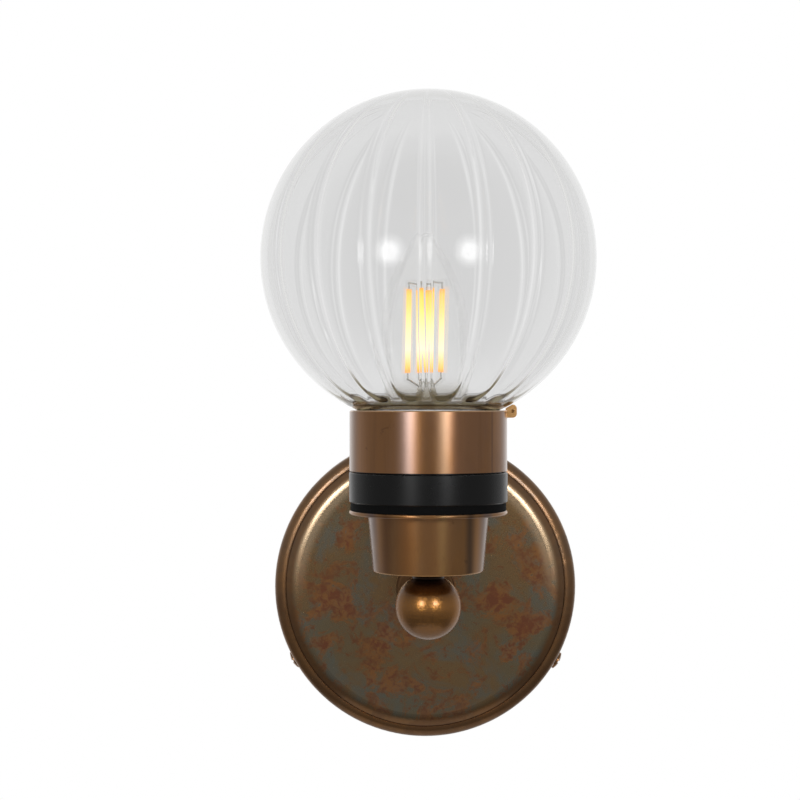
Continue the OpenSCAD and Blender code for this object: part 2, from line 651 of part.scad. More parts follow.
// Rows of points: close together on the foot, wider apart on the dome
foot_rows = 8;
foot_step = 2.4;
dome_rows = 15;
dome_low = cavity_low + foot_rows*foot_step;
dome_step = (cavity_high - dome_low)/dome_rows;
function lobe(t) = let (d = min(t, 1 - t)) d < rib_share ? (1 - cos(180*d/rib_share))/2 : 1;
function cavity_r(t, e) = globe_r - glass_wall - rib_depth*(1 - lobe(t)*rib_swell(t, e));
module ribbed_hollow() {
    turns = [for (i = [0:ribs_n - 1], t = lobe_stops) i + t];
    columns = len(turns);
    tilts = concat([for (i = [0:foot_rows]) cavity_low + foot_step*i],
        [for (i = [1:dome_rows]) dome_low + dome_step*i]);
    rows = len(tilts);
    rotate([0, 0, rib_turn]) polyhedron(
        points = concat(
            [for (e = tilts, t = turns) let (a = 360*t/ribs_n, r = cavity_r(t - floor(t), e))
                [r*cos(e)*cos(a), r*cos(e)*sin(a), r*sin(e)]],
            [[0, 0, globe_r - glass_wall - rib_depth]]),
        faces = concat(
            [[for (j = [0:columns - 1]) j]],
            [for (i = [0:rows - 2], j = [0:columns - 1]) let (k = (j + 1)%columns)
                [i*columns + j, (i + 1)*columns + j, (i + 1)*columns + k, i*columns + k]],
            [for (j = [0:columns - 1]) let (top = (rows - 1)*columns)
                [top + j, rows*columns, top + (j + 1)%columns]]));
}
module globe_outline() {
    fillet_r = glass_neck_r + glass_fillet;
    fillet_z = z_globe - sqrt(pow(globe_r + glass_fillet, 2) - pow(fillet_r, 2));
    touch = globe_r/(globe_r + glass_fillet);
    touch_z = z_globe + (fillet_z - z_globe)*touch;
    right_half(-big, big) translate([0, z_globe]) circle(r = globe_r);
    translate([0, z_glass]) square([glass_neck_r, z_globe - z_glass]);
    difference() {
        polygon([[0, fillet_z], [fillet_r, fillet_z], [fillet_r*touch, touch_z], [0, touch_z]]);
        translate([fillet_r, fillet_z]) circle(r = glass_fillet);
    }
    translate([0, z_glass]) square([glass_neck_r + bead_out - bead_h/2, bead_h]);
    translate([glass_neck_r + bead_out - bead_h/2, z_glass + bead_h/2]) circle(d = bead_h);
}
module globe() color([0.85, 0.88, 0.88, 0.35]) on_lamp() difference() {
    rotate_extrude() globe_outline();
    translate([0, 0, z_globe]) ribbed_hollow();
    translate([0, 0, z_glass - 1]) cylinder(d = glass_bore_d, h = z_globe - z_glass - globe_r/2);
}

// Lampholder
z_holder_top = z_lampholder + holder_h;
module lampholder() color("#222222") on_lamp() rotate_extrude() polygon([
    [rod_d/2, z_lampholder], [holder_r, z_lampholder],
    [holder_r, z_holder_top - holder_chamfer], [holder_r - holder_chamfer, z_holder_top],
    [holder_r - holder_wall, z_holder_top], [holder_r - holder_wall, z_ledge],
    [holder_r - holder_wall - ledge_w, z_ledge], [holder_r - holder_wall - ledge_w, z_lampholder_floor],
    [rod_d/2, z_lampholder_floor]]);
module contact_base() color("#e9e4d8") on_lamp() difference() {
    ring(holder_r - holder_wall - fit_gap, pin_r, z_ledge, z_base_top);
    for (side = [-1, 1]) translate([side*wire_out, 0, z_ledge - eps]) cylinder(d = wire_d + 1.2, h = wire_recess);
}
module lampholder_shell() color("#c8ad72") on_lamp() {
    ring(shell_r, shell_r - shell_wall, z_base_top, z_holder_top - shell_sink);
    ring(holder_r - holder_wall - 2*fit_gap, shell_r - shell_wall, z_base_top, z_base_top + shell_wall);
}
module centre_contact() color("#c8ad72") on_lamp() {
    // A strip folded back over itself, with its pin in the base
    translate([0, 0, z_base_top - pin_r]) cylinder(r = pin_r - fit_gap, h = pin_r + contact_t);
    translate([-contact_w/2, 0, z_base_top]) {
        translate([0, -contact_l/2, 0]) cube([contact_w, contact_l, contact_t]);
        translate([0, -contact_l/6, contact_rise - contact_t]) cube([contact_w, contact_l*2/3, contact_t]);
        translate([0, contact_l/2 - contact_t, 0]) cube([contact_w, contact_t, contact_rise]);
    }
}

// Bulb
cap_flare_r = bulb_neck_d/2 + cap_wall + fit_gap;
cap_cone_h = cap_flare_h - cap_grip - 2*fit_gap;
cap_bevel = 1;
z_cap_top = z_cap + cap_h + cap_flare_h;
z_bulb_foot = z_bulb_mid - bulb_low_h;
module cap_section(inset) polygon([
    [0, z_cap + inset], [cap_d/2 - cap_bevel - inset, z_cap + inset], [cap_d/2 - inset, z_cap + cap_bevel + inset],
    [cap_d/2 - inset, z_cap + cap_h], [cap_flare_r - inset, z_cap + cap_h + cap_cone_h],
    [cap_flare_r - inset, z_cap_top], [0, z_cap_top]]);
module bulb_cap() color("#c9c7c0") on_bulb() rotate_extrude() difference() {
    cap_section(0);
    cap_section(cap_wall);
    translate([0, z_cap_top - eps]) square([cap_flare_r - cap_wall, 1]);
}
module cap_insulator() color("#1d1d22") on_bulb() translate([0, 0, z_cap - insulator_h])
    cylinder(r1 = insulator_r, r2 = cap_d/2 - cap_bevel - 4*fit_gap, h = insulator_h);
module cap_contact() color("#d0cfc8") on_bulb() translate([0, 0, z_cap - insulator_h - cap_pip + fit_gap])
    cylinder(r1 = cap_contact_r*2/3, r2 = cap_contact_r, h = cap_pip - fit_gap);
// A candle outline from true arcs: an upper arc with a rounded tip, and a lower arc down to the neck
function arc_for(drop, rise) = (drop*drop + rise*rise)/(2*drop);
module candle_outline(inset) {
    half = bulb_d/2;
    drop = half - bulb_neck_d/2;
    low_arc = arc_for(drop, bulb_low_h - cap_grip - 2*fit_gap);
    low_rise = sqrt(2*(low_arc - inset)*drop - drop*drop);
    // The upper arc and the tip's circle touch, so the upper arc's centre follows from both
    reach = bulb_top_h - bulb_tip_r;
    top_arc = (reach*reach + half*half - bulb_tip_r*bulb_tip_r)/(2*(half - bulb_tip_r));
    centre_x = half - top_arc;
    touch_z = reach*(top_arc - inset)/(top_arc - bulb_tip_r);
    translate([0, z_bulb_mid]) {
        right_half(0, touch_z) translate([centre_x, 0]) circle(r = top_arc - inset);
        right_half(touch_z, big) translate([0, reach]) circle(r = bulb_tip_r - inset - 2*eps);
        right_half(-low_rise, 0) translate([half - low_arc, 0]) circle(r = low_arc - inset);
        // The straight neck in the cap's grip, which the hollow runs through
        translate([0, -bulb_low_h - inset])
            square([bulb_neck_d/2 - inset - 2*eps, bulb_low_h - low_rise + inset + 2*eps]);
    }
}
module bulb_glass() color([0.9, 0.9, 0.88, 0.3]) on_bulb() rotate_extrude() difference() {
    candle_outline(0);
    candle_outline(bulb_wall);
}
stem_r = 3;
stem_foot_h = 1.2;
stem_flare_h = 9;
stem_drop = 13.5;
z_stem_top = z_bulb_mid - stem_drop;
flare_r = bulb_neck_d/2 - bulb_wall - 3*fit_gap;
module bulb_stem() color([0.85, 0.88, 0.85, 0.4]) on_bulb() difference() {
    rotate_extrude() {
        polygon([[0, z_bulb_foot], [flare_r, z_bulb_foot], [flare_r, z_bulb_foot + stem_foot_h],
            [stem_r, z_bulb_foot + stem_flare_h], [stem_r, z_stem_top - stem_r], [0, z_stem_top - stem_r]]);
        right_half(z_stem_top - stem_r - eps, big) translate([0, z_stem_top - stem_r]) circle(r = stem_r);
    }
    stem_wires(lead_d + 2*fit_gap);
}
filament_drop = 11.4;
z_filament = z_bulb_mid - filament_drop;
filament_slant = 1.2;
filament_tab_l = 2.2;
weld_gap = 0.03;
function corner(i) = let (a = filament_turn + 90*i) filament_out*[cos(a), sin(a), 0];
function filament_foot(i) = corner(i) + [-filament_slant/2, 0, z_filament];
function filament_head(i) = corner(i) + [filament_slant/2, 0, z_filament + filament_l];
// The four wires that reach out of the stem to the filaments' feet
module stem_wires(d) for (i = [0:3])
    bar(filament_foot(i) - [0, 0, filament_tab_l], corner(i)*0.35 + [0, 0, z_stem_top - stem_r], d);
module filaments() color("#f0c050") on_bulb() for (i = [0:3]) bar(filament_foot(i), filament_head(i), filament_d);
module filament_leads() color("#9a9a98") on_bulb() {
    up = [0, 0, filament_tab_l];
    weld = [0, 0, weld_gap];
    node_d = lead_d*1.4;
    for (i = [0:3]) {
        foot = filament_foot(i) - up;
        head = filament_head(i) + up;
        bar(foot, filament_foot(i) - weld, lead_d);
        bar(filament_head(i) + weld, head, lead_d);
        translate(foot) sphere(d = node_d);
        translate(head) sphere(d = node_d);
    }
    // The heads are joined in two pairs, and the feet reach down to the stem
    for (i = [1, 3]) bar(filament_head(i) + up, filament_head((i + 1)%4) + up, lead_d);
    stem_wires(lead_d);
}

backplate();
wall_bracket();
rim_screws();
terminal_block();
terminal_screws();
block_screw();
earth_screw();
live_wire();
neutral_wire();
earth_wire();
arm_boss();
arm_tube();
threaded_rod();
arm_nut();
arm_washer();
ball();
neck_nipple();
cup_nut();
cup();
flange_gasket();
holder_ring();
holder_screws();
neck_gasket();
collar();
collar_lug();
split_ring();
cushion_ring();
globe();
lampholder();
contact_base();
lampholder_shell();
centre_contact();
bulb_cap();
cap_insulator();
cap_contact();
bulb_glass();
bulb_stem();
filaments();
filament_leads();
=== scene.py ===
import math

import bpy
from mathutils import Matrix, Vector


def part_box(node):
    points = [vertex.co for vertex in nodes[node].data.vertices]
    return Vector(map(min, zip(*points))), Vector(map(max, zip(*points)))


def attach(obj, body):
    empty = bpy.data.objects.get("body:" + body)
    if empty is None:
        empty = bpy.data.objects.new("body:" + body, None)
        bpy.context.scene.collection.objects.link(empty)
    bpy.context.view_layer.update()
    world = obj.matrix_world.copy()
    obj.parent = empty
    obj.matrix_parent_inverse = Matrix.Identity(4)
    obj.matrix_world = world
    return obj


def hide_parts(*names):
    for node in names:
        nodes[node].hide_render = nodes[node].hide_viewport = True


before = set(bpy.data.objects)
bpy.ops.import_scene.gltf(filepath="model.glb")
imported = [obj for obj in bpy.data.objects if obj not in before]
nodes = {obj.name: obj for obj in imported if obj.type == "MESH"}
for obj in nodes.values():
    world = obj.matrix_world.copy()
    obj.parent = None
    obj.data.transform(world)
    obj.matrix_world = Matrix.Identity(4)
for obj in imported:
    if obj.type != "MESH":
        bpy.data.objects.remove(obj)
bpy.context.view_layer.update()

MM = 0.001

# The lamp's upright axis, from the cup's box
cup_low, cup_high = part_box("cup")
lamp_x = (cup_low.x + cup_high.x) / 2
lamp_y = (cup_low.y + cup_high.y) / 2

# The view: places and sizes in metres, levels of the room's light, and softbox discs as size and watts
camera_place = (-0.01005, -0.7176, 0.0743)
camera_lens = 79.5
softbox_place = (0.177, -0.47, 0.127)
softbox_aim_z = 0.06
softbox_gap = 0.002
softbox_discs = [(0.158, 0.09), (0.132, 0.09), (0.104, 0.09), (0.076, 0.07)]
room_front = 0.32
room_below = 0.14
room_side = 0.44
room_diffuse = 0.45
backdrop_seen = 0.76
backdrop_far = 0.85
backdrop_aim = (0.02, 0.99, 0.085)
backdrop_spread = (7, 1)
floor_drop = 0.9
floor_size = 1.2

# Where the backplate's patina blooms, as x, z and radius in millimetres and a share
patina_blooms = [(29, -5, 16, 0.62), (39, -17, 15, 0.55), (34, -26, 12, 0.5), (8, -32, 13, 0.42),
                 (-36, -6, 16, 0.45), (-39, -22, 14, 0.45), (-17, -20, 13, 0.45), (-30, 22, 13, 0.35),
                 (26, 20, 16, 0.36), (-22, -36, 14, 0.35), (44, 8, 15, 0.36)]


# Colours and shader maths
def tone(red, green, blue):
    """A colour given as 8-bit screen levels, as the linear colour that a shader takes."""
    shares = [level / 255 for level in (red, green, blue)]
    linear = [s / 12.92 if s <= 0.04045 else ((s + 0.055) / 1.055) ** 2.4 for s in shares]
    return (*linear, 1.0)


class Link:
    """An output socket, so that shader maths reads as plain expressions."""

    def __init__(self, tree, socket):
        self.tree = tree
        self.socket = socket

    def math(self, operation, first, second):
        return self.tree.node("ShaderNodeMath", {"operation": operation}, {0: first, 1: second})

    def __add__(self, other):
        return self.math("ADD", self, other)

    def __radd__(self, other):
        return self.math("ADD", other, self)

    def __sub__(self, other):
        return self.math("SUBTRACT", self, other)

    def __rsub__(self, other):
        return self.math("SUBTRACT", other, self)

    def __mul__(self, other):
        return self.math("MULTIPLY", self, other)

    def __rmul__(self, other):
        return self.math("MULTIPLY", other, self)

    def __truediv__(self, other):
        return self.math("DIVIDE", self, other)


class Tree:
    """The node tree of a material or of the world."""

    def __init__(self, owner):
        owner.use_nodes = True
        self.nodes = owner.node_tree.nodes
        self.links = owner.node_tree.links
        self.nodes.clear()

    def node(self, kind, settings=None, sockets=None, output=0):
        """Adds a node: its settings first, then the values or links of its sockets."""
        made = self.nodes.new(kind)
        for name, value in (settings or {}).items():
            if name == "stops":
                set_stops(made.color_ramp, value)
            else:
                setattr(made, name, value)
        for name, value in (sockets or {}).items():
            if isinstance(value, Link):
                self.links.new(value.socket, made.inputs[name])
            else:
                made.inputs[name].default_value = value
        return Link(self, made.outputs[output]) if made.outputs else None

    def blend(self, share, first, second):
        """Two colours mixed by a share."""
        return self.node("ShaderNodeMix", {"data_type": "RGBA"}, {0: share, 6: first, 7: second}, 2)

    def ramp(self, value, low, high, start=0.0, end=1.0):
        """A value carried smoothly from one span to another, and held at its ends."""
        return self.node("ShaderNodeMapRange", {"interpolation_type": "SMOOTHSTEP"}, {
            "Value": value, "From Min": low, "From Max": high, "To Min": start, "To Max": end})

    def place(self, scale=(1, 1, 1), offset=(0, 0, 0)):
        """Object coordinates in metres, stretched and shifted."""
        here = self.node("ShaderNodeTexCoord", {}, {}, "Object")
        return self.node("ShaderNodeMapping", {}, {"Vector": here, "Scale": scale, "Location": offset})

    def noise(self, scale, detail=3.0, roughness=0.5, distortion=0.0, stretch=(1, 1, 1), offset=(0, 0, 0)):
        return self.node("ShaderNodeTexNoise", {}, {
            "Vector": self.place(stretch, offset), "Scale": scale, "Detail": detail,
            "Roughness": roughness, "Distortion": distortion}, "Fac")

    def part(self, vector, axis):
        """One axis of a vector."""
        return self.node("ShaderNodeSeparateXYZ", {}, {0: vector}, axis)

    def vector(self, operation, first, second=(0, 0, 0), output=0):
        return self.node("ShaderNodeVectorMath", {"operation": operation}, {0: first, 1: second}, output)

    def from_middle(self):
        """How far a point lies from the backplate's middle, across its face."""
        return self.vector("LENGTH", self.vector("MULTIPLY", self.place(), (1, 0, 1)), output="Value")

    def bump(self, height, distance):
        return self.node("ShaderNodeBump", {}, {"Height": height, "Distance": distance, "Strength": 0.5})

    def spot(self, x, z, radius):
        """A soft round share, 1 at a place on the face in millimetres and 0 past its radius."""
        flat = self.vector("MULTIPLY", self.place(), (1, 0, 1))
        away = self.vector("DISTANCE", flat, (x * MM, 0, z * MM), "Value")
        return self.ramp(away, 0, radius * MM, 1, 0)

    def strip(self, way, middle, half):
        """A soft share along X or Z, 1 at a place in millimetres and 0 past its half width."""
        along = self.part(self.place(), way)
        rise = self.ramp(along, (middle - half) * MM, middle * MM)
        return rise * self.ramp(along, middle * MM, (middle + half) * MM, 1, 0)

    def most(self, first, second):
        return self.node("ShaderNodeMath", {"operation": "MAXIMUM"}, {0: first, 1: second})

    def light_path(self, fact):
        return self.node("ShaderNodeLightPath", {}, {}, fact)

    def mix_shader(self, share, first, second):
        return self.node("ShaderNodeMixShader", {}, {0: share, 1: first, 2: second})

    def surface(self, sockets):
        """The Principled shader, joined to the output."""
        shader = self.node("ShaderNodeBsdfPrincipled", {}, sockets)
        self.node("ShaderNodeOutputMaterial", {}, {"Surface": shader})


def set_stops(color_ramp, stops):
    while len(color_ramp.elements) < len(stops):
        color_ramp.elements.new(0.5)
    for element, (position, color) in zip(color_ramp.elements, stops):
        element.position = position
        element.color = color


def new_finish(name):
    """A new material and its tree."""
    material = bpy.data.materials.new(name)
    return material, Tree(material)


def dress(piece, material):
    piece.data.materials.clear()
    piece.data.materials.append(material)
    return piece


# Finishes
def patinated_brass():
    """The backplate's patina: olive and blue-grey clouds, groups of orange-brown blooms, a brown rim, and
    a painted highlight on the shoulder's upper half.
    """
    material, tree = new_finish("patinated_brass")
    wide = tree.noise(22, 5, 0.6, 0.6, (1, 1, 1), (0.3, 0, 0.1))
    torn = tree.noise(75, 12, 0.68, 0.7, (1, 1, 1.15), (0.7, 0, 0.4))
    flaky = tree.noise(330, 6, 0.7, 0.4, (1, 1, 1), (0.1, 0, 0.9))
    blue = tree.ramp(tree.noise(50, 7, 0.62, 0.5, (1, 1, 1), (0.9, 0, 0.2)), 0.44, 0.60)
    groups = wide * 0.35
    for x, z, radius, share in patina_blooms:
        groups = tree.most(groups, tree.spot(x, z, radius) * share)
    blooms = tree.ramp(groups * 0.5 + torn * 1.3 + flaky * 0.55, 0.98, 1.12)
    rust = tree.ramp(groups * 0.6 + torn * 0.9 + flaky * 0.9, 1.12, 1.28)
    crumbs = tree.ramp(groups * 0.35 + flaky * 1.3 + torn * 0.3, 0.98, 1.08)
    specks = tree.ramp(tree.noise(1500, 2, 0.6), 0.80, 0.84)
    rim = tree.ramp(tree.from_middle(), 51.5 * MM, 53.5 * MM)
    upper_half = tree.ramp(tree.part(tree.place(), "Z"), -10 * MM, 20 * MM)
    # Painted highlight: the shoulder's upper half, where the lights shine on it, is paler and carries more
    # coat
    shoulder_highlight = tree.ramp(tree.from_middle(), 46 * MM, 50 * MM) * upper_half
    ground = tree.blend(tree.ramp(wide, 0.40, 0.60), tone(140, 107, 62), tone(127, 110, 78))
    mottled = tree.blend(tree.ramp(torn, 0.42, 0.62) * 0.45, ground, tone(120, 84, 46))
    clouded = tree.blend(blue * 0.7, mottled, tone(112, 116, 105))
    orange = tree.blend(tree.ramp(flaky, 0.42, 0.6), tone(162, 100, 36), tone(132, 78, 34))
    bloomed = tree.blend(blooms * 0.75, clouded, orange)
    crumbled = tree.blend(crumbs * 0.6, bloomed, tone(122, 74, 34))
    rusted = tree.blend(rust * 0.7, crumbled, tone(134, 68, 30))
    # Painted highlight: a pale tone blended in over the upper shoulder
    shoulder_highlighted = tree.blend(shoulder_highlight * 0.75, rusted, tone(204, 174, 136))
    browned = tree.blend(tree.ramp(torn, 0.4, 0.6), tone(144, 98, 54), tone(124, 88, 54))
    rimmed = tree.blend(rim * 0.85, shoulder_highlighted, browned)
    tree.surface({
        "Base Color": tree.blend(specks * 0.6, rimmed, tone(200, 190, 170)),
        "Metallic": 1.0,
        "Roughness": 0.27 + blooms * 0.06 + rim * 0.06,
        "Coat Weight": 0.75 + shoulder_highlight * 0.25 - rim * 0.35,
        "Coat Roughness": 0.2,
        "Coat IOR": 1.65,
        "Normal": tree.bump(flaky, 0.00001),
    })
    return material


def turned_brass(name, tones, roughness, spread, lacquer, dents, marks_and_painted_light):
    """Aged, turned brass under lacquer: drifting colour, streaks down the side, stains, and marks by
    place, most of them painted highlights, reflections and shade.
    """
    material, tree = new_finish(name)
    light, dark, rosy, stain = tones
    drift = tree.ramp(tree.noise(32, 4, 0.6, 0.4, (1, 1, 0.6), (0.2, 0.1, 0)), 0.38, 0.64)
    blush = tree.ramp(tree.noise(48, 3, 0.6, 0.2, (1, 1, 0.4), (0.6, 0.4, 0.1)), 0.45, 0.62)
    streaks = tree.noise(420, 3, 0.6, 0, (1, 1, 0.03))
    stains = tree.ramp(tree.noise(150, 6, 0.7, 0.5), 0.62, 0.70)
    rings = tree.noise(900, 2, 0.5, 0, (0.04, 0.04, 1))
    grain = tree.noise(420, 4, 0.7)
    shade = tree.blend(drift, light, dark)
    blushed = tree.blend(blush * 0.6, shade, rosy)
    streaked = tree.blend(tree.ramp(streaks, 0.52, 0.70) * 0.35, blushed, dark)
    stained_and_painted_light = tree.blend(stains * 0.5, streaked, stain)
    # Each mark is a band along X or Z blended into the colour; most stand for light as painted highlights,
    # painted reflections or painted shade
    for way, middle, half, share, color in marks_and_painted_light:
        stained_and_painted_light = tree.blend(tree.strip(way, middle, half) * share, stained_and_painted_light, color)
    tree.surface({
        "Base Color": stained_and_painted_light,
        "Metallic": 1.0,
        "Roughness": roughness + drift * 0.04 + streaks * 0.06,
        "Anisotropic": spread,
        "Anisotropic Rotation": 0.25,
        "Coat Weight": lacquer,
        "Coat Roughness": 0.2,
        "Coat IOR": 1.65,
        "Normal": tree.bump(rings * 0.4 + grain * 0.6, dents),
    })
    return material


def plain_metal(name, color, roughness):
    material, tree = new_finish(name)
    wear = tree.noise(160, 4, 0.6)
    tree.surface({
        "Base Color": tree.blend(wear * 0.3, color, tone(90, 80, 66)),
        "Metallic": 1.0,
        "Roughness": roughness + wear * 0.12,
    })
    return material


def moulded(name, color, roughness, gloss=0.5):
    """Moulded plastic, rubber or fired ceramic with a fine grain."""
    material, tree = new_finish(name)
    cloud = tree.noise(70, 3)
    skin = tree.noise(1800, 2)
    darker = tuple(0.75 * c for c in color[:3]) + (1.0,)
    tree.surface({
        "Base Color": tree.blend(cloud, color, darker),
        "Roughness": roughness + cloud * 0.08,
        "Specular IOR Level": gloss,
        "Normal": tree.bump(skin, 0.00002),
    })
    return material


def earth_sleeve():
    """Green wire insulation with a yellow stripe along it."""
    material, tree = new_finish("green_insulation")
    stripe = tree.ramp(tree.part(tree.place(), "Z"), -20.0 * MM, -19.4 * MM)
    tree.surface({
        "Base Color": tree.blend(stripe, tone(60, 130, 50), tone(226, 200, 40)),
        "Roughness": 0.4 + tree.noise(300) * 0.1,
    })
    return material


def clear_glass(name, tint, ior, shine, bends=1.0, glint=None):
    """Clear glass: a share of the light bends and the rest goes straight on. Light caught in it after
    caught_after bounces ends in a painted glow, pale, olive low down and dark at the seat, where a dark
    line of painted shade for the cushion ring's shaded gap also runs round the glass."""
    material, tree = new_finish(name)
    # Painted shade: a dark band round the glass at the seat line
    seat_shade = tree.strip("Z", seat_line, seat_half)
    sockets = {"Base Color": tree.blend(seat_shade, tint, tone(40, 32, 24)), "Roughness": 0.0, "IOR": ior,
               "Transmission Weight": 1.0, "Specular IOR Level": shine}
    if glint:
        sockets["Emission Color"] = glint(tree)
        sockets["Emission Strength"] = 1.0
    shader = tree.node("ShaderNodeBsdfPrincipled", {}, sockets)
    passing = tree.node("ShaderNodeBsdfTransparent", {}, {"Color": tint})
    over_foot = tree.ramp(tree.part(tree.place(), "Z"), foot_low * MM, foot_high * MM)
    # Painted light: flat glows in which caught light ends, pale above the foot, olive low down and dark at
    # the seat
    olive, pale, dark = [tree.node("ShaderNodeEmission", {}, {"Color": color, "Strength": 1.0})
                         for color in (tone(122, 112, 86), tone(226, 226, 225), tone(70, 56, 42))]
    end = tree.mix_shader(seat_shade, tree.mix_shader(over_foot, olive, pale), dark)
    caught = tree.ramp(tree.light_path("Ray Depth"), caught_after, caught_after + 1)
    straight = tree.most(tree.light_path("Is Shadow Ray"), 1 - bends)
    mixed = tree.mix_shader(straight, tree.mix_shader(caught, shader, end), passing)
    tree.node("ShaderNodeOutputMaterial", {}, {"Surface": mixed})
    return material


def from_globe_centre(tree):
    """The way from the globe's centre to a point."""
    return tree.vector("SUBTRACT", tree.place(), (lamp_x, lamp_y, globe_z * MM))


def inside_wall(tree):
    """1 on the hollow's wall and 0 on the outside."""
    away = tree.vector("LENGTH", from_globe_centre(tree), output="Value")
    return tree.ramp(away, (globe_r - inside_full) * MM, (globe_r - inside_from) * MM, 1, 0)


def rib_glints(tree):
    """Painted highlights: thin pale lines of emission along both sides of each ridge, inside, standing for
    the light that the ribs' flanks gather.
    """
    from_centre = from_globe_centre(tree)
    height = tree.part(from_centre, "Z") / tree.vector("LENGTH", from_centre, output="Value")
    angle = tree.node("ShaderNodeMath", {"operation": "ARCTAN2"},
                      {0: tree.part(from_centre, "Y"), 1: tree.part(from_centre, "X")})
    turn = tree.node("ShaderNodeMath", {"operation": "FRACT"},
                     {0: angle * (ribs / math.tau) + (ribs - rib_turn * ribs / 360)})
    near = tree.node("ShaderNodeMath", {"operation": "MINIMUM"}, {0: turn, 1: 1 - turn})
    rise = tree.ramp(near, glint_at - glint_half, glint_at)
    lines = rise * tree.ramp(near, glint_at, glint_at + glint_half, 1, 0)
    ends = tree.ramp(height, -0.84, -0.72) * tree.ramp(height, 0.90, 0.97, 1, 0)
    uneven = tree.ramp(tree.noise(40, 3, 0.6, 0, (1, 1, 0.35)), 0.35, 0.65, 0.25, 1.0)
    gathered = (glint_light, glint_light, glint_light, 1)
    return tree.blend(lines * inside_wall(tree) * ends * uneven, (0, 0, 0, 1), gathered)


def lit_filament():
    """Glowing coating: white-yellow low down, orange towards the upper end and at both tips."""
    material, tree = new_finish("lit_filament")
    low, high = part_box("filaments")
    share = (tree.part(tree.place(), "Z") - low.z) / (high.z - low.z)
    glow = tree.node("ShaderNodeValToRGB", {"stops": [
        (0.0, tone(206, 112, 30)), (0.07, tone(255, 186, 84)), (0.28, tone(255, 244, 222)),
        (0.5, tone(255, 236, 190)), (0.75, tone(255, 205, 122)), (0.94, tone(250, 176, 76)),
        (1.0, tone(190, 104, 30))]}, {"Fac": share})
    tree.surface({
        "Base Color": tone(230, 170, 60),
        "Roughness": 0.6,
        "Emission Color": glow,
        "Emission Strength": 1.05,
    })
    return material


# Modelling helpers
def arc(centre, radius, start, end, steps):
    """Points (across, up) on an arc, from one angle to another in degrees."""
    turns = [math.radians(start + (end - start) * i / steps) for i in range(steps + 1)]
    return [(centre[0] + radius * math.cos(t), centre[1] + radius * math.sin(t)) for t in turns]


def turned(name, profile, steps, smooth_angle):
    """A piece turned about the lamp's axis from a profile of (radius, height) points in millimetres."""
    bpy.ops.object.select_all(action="DESELECT")
    start = (lamp_x + profile[0][0] * MM, lamp_y, profile[0][1] * MM)
    bpy.ops.mesh.primitive_plane_add(size=MM, location=start)
    piece = bpy.context.object
    piece.name = name
    bpy.ops.object.mode_set(mode="EDIT")
    bpy.ops.mesh.merge(type="CENTER")
    for (r0, z0), (r1, z1) in zip(profile, profile[1:]):
        bpy.ops.mesh.extrude_region_move(
            TRANSFORM_OT_translate={"value": ((r1 - r0) * MM, 0, (z1 - z0) * MM)})
    bpy.ops.mesh.select_all(action="SELECT")
    bpy.ops.mesh.spin(steps=steps, angle=math.tau, center=(lamp_x, lamp_y, 0), axis=(0, 0, 1))
    bpy.ops.mesh.select_all(action="SELECT")
    bpy.ops.mesh.remove_doubles(threshold=0.000002)
    bpy.ops.mesh.normals_make_consistent(inside=False)
    bpy.ops.object.mode_set(mode="OBJECT")
    bpy.ops.object.transform_apply(location=True, rotation=True, scale=True)
    bpy.ops.object.shade_smooth_by_angle(angle=math.radians(smooth_angle))
    return piece


# The globe: round outside, with lobes and ridges pressed into its inside
globe_low, globe_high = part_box("globe")
globe_r = (globe_high.x - globe_low.x) / 2 / MM
globe_z = globe_high.z / MM - globe_r
glass_foot = globe_low.z / MM
glass_wall = 2.4
rib_depth = 0.45
ribs = 18
rib_turn = 8
rib_share = 0.16
columns_per_rib = 24
columns_on_rib = 8
neck_r = 24.0
bore_r = 21.2
bead_r = 1.1
bead_out = 1.2
outer_fillet = 1.2
inner_fillet = 3.0
rib_foot = -62
rib_head = 78
rib_fade = 7
rib_cusp = 8
hollow_r = globe_r - glass_wall - rib_depth
hollow_steps = 112
outside_steps = 72
fillet_steps = 8
bead_steps = 12
neck_share = 0.93
bore_chamfer = 0.5
crease_angle = 50

# The glass's finish: the depth of its inside, the painted highlight lines beside a ridge, where and how
# caught light ends in a painted glow, and the painted shade line at the seat
inside_from = 1.0
inside_full = 1.4
glint_at = 0.085
glint_half = 0.04
glint_light = 0.08
caught_after = 3
foot_low = 74
foot_high = 82
seat_line = 72.4
seat_half = 0.9


def fillet_place(sphere_r, cylinder_r, fillet_r):
    """Centre of a fillet between the sphere and the cylinder under it, and the angle where it starts."""
    across = cylinder_r + fillet_r
    drop = math.sqrt((sphere_r + fillet_r) ** 2 - across ** 2)
    return (across, globe_z - drop), math.degrees(math.atan2(-drop, across))


def globe_profile():
    inner, inner_angle = fillet_place(hollow_r, bore_r, inner_fillet)
    outer, outer_angle = fillet_place(globe_r, neck_r, outer_fillet)
    bead = (neck_r + bead_out - bead_r, glass_foot + bead_r)
    return (arc((0, globe_z), hollow_r, 90, inner_angle, hollow_steps)
            + arc(inner, inner_fillet, inner_angle + 180, 180, fillet_steps)[1:]
            + [(bore_r, glass_foot + bore_chamfer), (bore_r + bore_chamfer, glass_foot)]
            + arc(bead, bead_r, -90, 90, bead_steps)
            + [(neck_r, glass_foot + 2 * bead_r)]
            + arc(outer, outer_fillet, 180, outer_angle + 180, fillet_steps)
            + arc((0, globe_z), globe_r, outer_angle, 90, outside_steps)[1:])


def smooth(t):
    t = max(0.0, min(1.0, t))
    return t * t * (3 - 2 * t)


def rib_place(turn):
    """Gathers a lobe's columns on its two half ribs: a turn of 0 to 1 from ridge to ridge, moved."""
    near = min(turn, 1 - turn)
    held = columns_on_rib / columns_per_rib
    moved = near * rib_share / held if near < held else \
        rib_share + (near - held) * (0.5 - rib_share) / (0.5 - held)
    return moved if turn < 0.5 else 1 - moved


def lobe(turn):
    """How far the hollow swells out between two ridges, from 0 on a ridge to 1."""
    near = min(turn, 1 - turn)
    return (1 - math.cos(math.pi * near / rib_share)) / 2 if near < rib_share else 1.0


